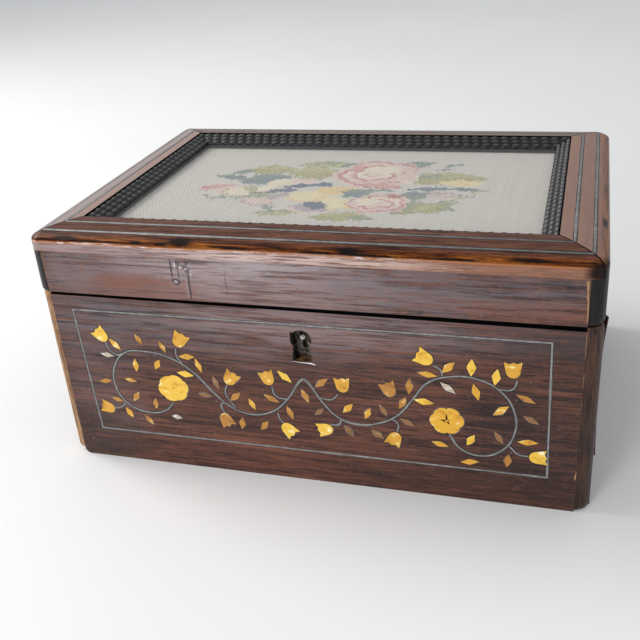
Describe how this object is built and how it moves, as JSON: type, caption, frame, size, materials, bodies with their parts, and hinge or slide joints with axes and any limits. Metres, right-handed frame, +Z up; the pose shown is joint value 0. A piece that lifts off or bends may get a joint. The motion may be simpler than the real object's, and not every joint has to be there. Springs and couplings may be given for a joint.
{
  "type": "needlepoint wooden box",
  "caption": "Rectangular rosewood box with rounded corner posts, inlaid front and lift-off lid, framed needlework under glass with a ripple moulding in the lid.",
  "frame": {"origin": "middle of the underside, at the level on which the box stands", "axes": "+X along the length to the right, +Y to the back, +Z up; the inlaid front faces -Y"},
  "size_m": [0.28, 0.198, 0.1344],
  "materials": {
    "rosewood": "waxed dark brown veneer with black figure, satin",
    "dark_wood": "almost black polished wood, worn at its ends",
    "bare_wood": "golden brown wood without its dark skin, dull",
    "frame_wood": "polished reddish brown with an amber rounded edge",
    "ebonised_wood": "black stained and waxed",
    "carcass_wood": "plain unpolished softwood",
    "needlework": "wool and silk stitches on canvas, matt",
    "clear_glass": "clear, slightly uneven old glass",
    "lock_steel": "tarnished, bright at the pin's tip",
    "pewter": "dull grey string inlay",
    "pearl": "golden mother-of-pearl with bright flashes"
  },
  "bodies": {
    "root": {"front_board": "rosewood", "back_board": "rosewood", "right_board": "rosewood", "left_board": "rosewood", "bottom_board": "carcass_wood", "front_left_post": "bare_wood", "front_right_post": "dark_wood", "back_left_post": "dark_wood", "back_right_post": "dark_wood", "lock_case": "lock_steel", "lock_pin": "lock_steel", "lid_front_band": "rosewood", "lid_right_band": "rosewood", "lid_back_band": "rosewood", "lid_left_band": "rosewood", "lid_front_left_post": "dark_wood", "lid_front_right_post": "dark_wood", "lid_back_left_post": "dark_wood", "lid_back_right_post": "dark_wood", "lid_lining_board": "carcass_wood", "needlework_panel": "needlework", "glass_pane": "clear_glass", "lid_frame_front": "frame_wood", "lid_frame_right": "frame_wood", "lid_frame_back": "frame_wood", "lid_frame_left": "frame_wood", "ripple_moulding_front": "ebonised_wood", "ripple_moulding_right": "ebonised_wood", "ripple_moulding_back": "ebonised_wood", "ripple_moulding_left": "ebonised_wood"}
  },
  "joints": []
}
